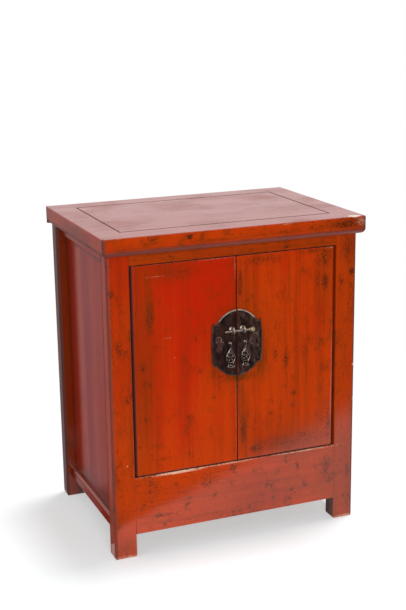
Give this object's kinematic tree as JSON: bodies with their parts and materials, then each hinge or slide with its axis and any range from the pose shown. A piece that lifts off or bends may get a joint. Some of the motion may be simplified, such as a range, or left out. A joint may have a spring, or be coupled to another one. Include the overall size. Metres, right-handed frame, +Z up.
{
  "type": "wedding cabinet",
  "caption": "Small lacquered Chinese wedding cabinet: framed carcass, pivoting doors, hidden box below a lift-out floor board, lobed lock plate with sliding pin and pendants.",
  "frame": {"origin": "on the floor, under the middle of the cabinet's outline in plan", "axes": "+Z up; the doors face -Y; +X to the right as one faces the doors"},
  "size_m": [0.716, 0.512, 0.85],
  "materials": {
    "red_lacquer": "vermilion lacquer on hardwood, glossy, with dark worn specks and pale rubbed edges",
    "bare_wood": "unfinished wood, darkened with age, matt",
    "dark_brass": "dark brown patinated sheet metal with rubbed rims",
    "bright_brass": "worn brass, brighter on the high spots"
  },
  "bodies": {
    "cabinet": {"front_left_post": "red_lacquer", "back_left_post": "red_lacquer", "left_top_rail": "red_lacquer", "left_bottom_rail": "red_lacquer", "left_side_panel": "red_lacquer", "left_floor_bearer": "bare_wood", "left_shelf_bearer": "bare_wood", "top_left_member": "red_lacquer", "top_left_batten": "bare_wood", "front_right_post": "red_lacquer", "back_right_post": "red_lacquer", "right_top_rail": "red_lacquer", "right_bottom_rail": "red_lacquer", "right_side_panel": "red_lacquer", "right_floor_bearer": "bare_wood", "right_shelf_bearer": "bare_wood", "top_right_member": "red_lacquer", "top_right_batten": "bare_wood", "front_top_rail": "red_lacquer", "apron": "red_lacquer", "top_front_member": "red_lacquer", "top_back_member": "red_lacquer", "top_panel": "red_lacquer", "back_bottom_rail": "bare_wood", "back_middle_rail": "bare_wood", "back_top_rail": "bare_wood", "back_lower_panel": "bare_wood", "back_upper_panel": "bare_wood", "bottom_front_board": "bare_wood", "bottom_middle_board": "bare_wood", "bottom_back_board": "bare_wood", "floor_front_board": "bare_wood", "floor_back_board": "bare_wood", "shelf_front_board": "bare_wood", "shelf_back_board": "bare_wood"},
    "left_door": {"left_door_stile": "red_lacquer", "left_door_board": "red_lacquer", "left_door_lower_batten": "bare_wood", "left_door_upper_batten": "bare_wood", "left_lock_plate": "dark_brass", "left_plate_nails": "dark_brass", "left_staple": "bright_brass", "left_pendant_loop": "bright_brass"},
    "left_pendant": {"left_pendant": "bright_brass"},
    "right_door": {"right_door_stile": "red_lacquer", "right_door_board": "red_lacquer", "right_door_lower_batten": "bare_wood", "right_door_upper_batten": "bare_wood", "right_lock_plate": "dark_brass", "right_plate_nails": "dark_brass", "right_staple": "bright_brass", "right_pendant_loop": "bright_brass"},
    "right_pendant": {"right_pendant": "bright_brass"},
    "lock_pin": {"lock_pin": "bright_brass", "lock_pin_knob": "bright_brass"},
    "floor_lid": {"floor_lid": "bare_wood"}
  },
  "joints": [
    {"name": "left_door_hinge", "type": "hinge", "parent": "cabinet", "child": "left_door", "pos_m": [-0.272, -0.222, 0.5], "axis": [0, 0, -1], "range_deg": [0, 100]},
    {"name": "right_door_hinge", "type": "hinge", "parent": "cabinet", "child": "right_door", "pos_m": [0.272, -0.222, 0.5], "axis": [0, 0, 1], "range_deg": [0, 100]},
    {"name": "lock_pin_slide", "type": "slide", "parent": "right_door", "child": "lock_pin", "axis": [1, 0, 0], "range_m": [-0.01, 0.042]},
    {"name": "left_pendant_swing", "type": "hinge", "parent": "left_door", "child": "left_pendant", "pos_m": [-0.021, -0.242, 0.547], "axis": [-1, 0, 0], "range_deg": [-4, 90]},
    {"name": "right_pendant_swing", "type": "hinge", "parent": "right_door", "child": "right_pendant", "pos_m": [0.021, -0.242, 0.547], "axis": [-1, 0, 0], "range_deg": [-4, 90]},
    {"name": "floor_lid_lift", "type": "slide", "parent": "cabinet", "child": "floor_lid", "axis": [0, 0, 1], "range_m": [0, 0.15]}
  ]
}
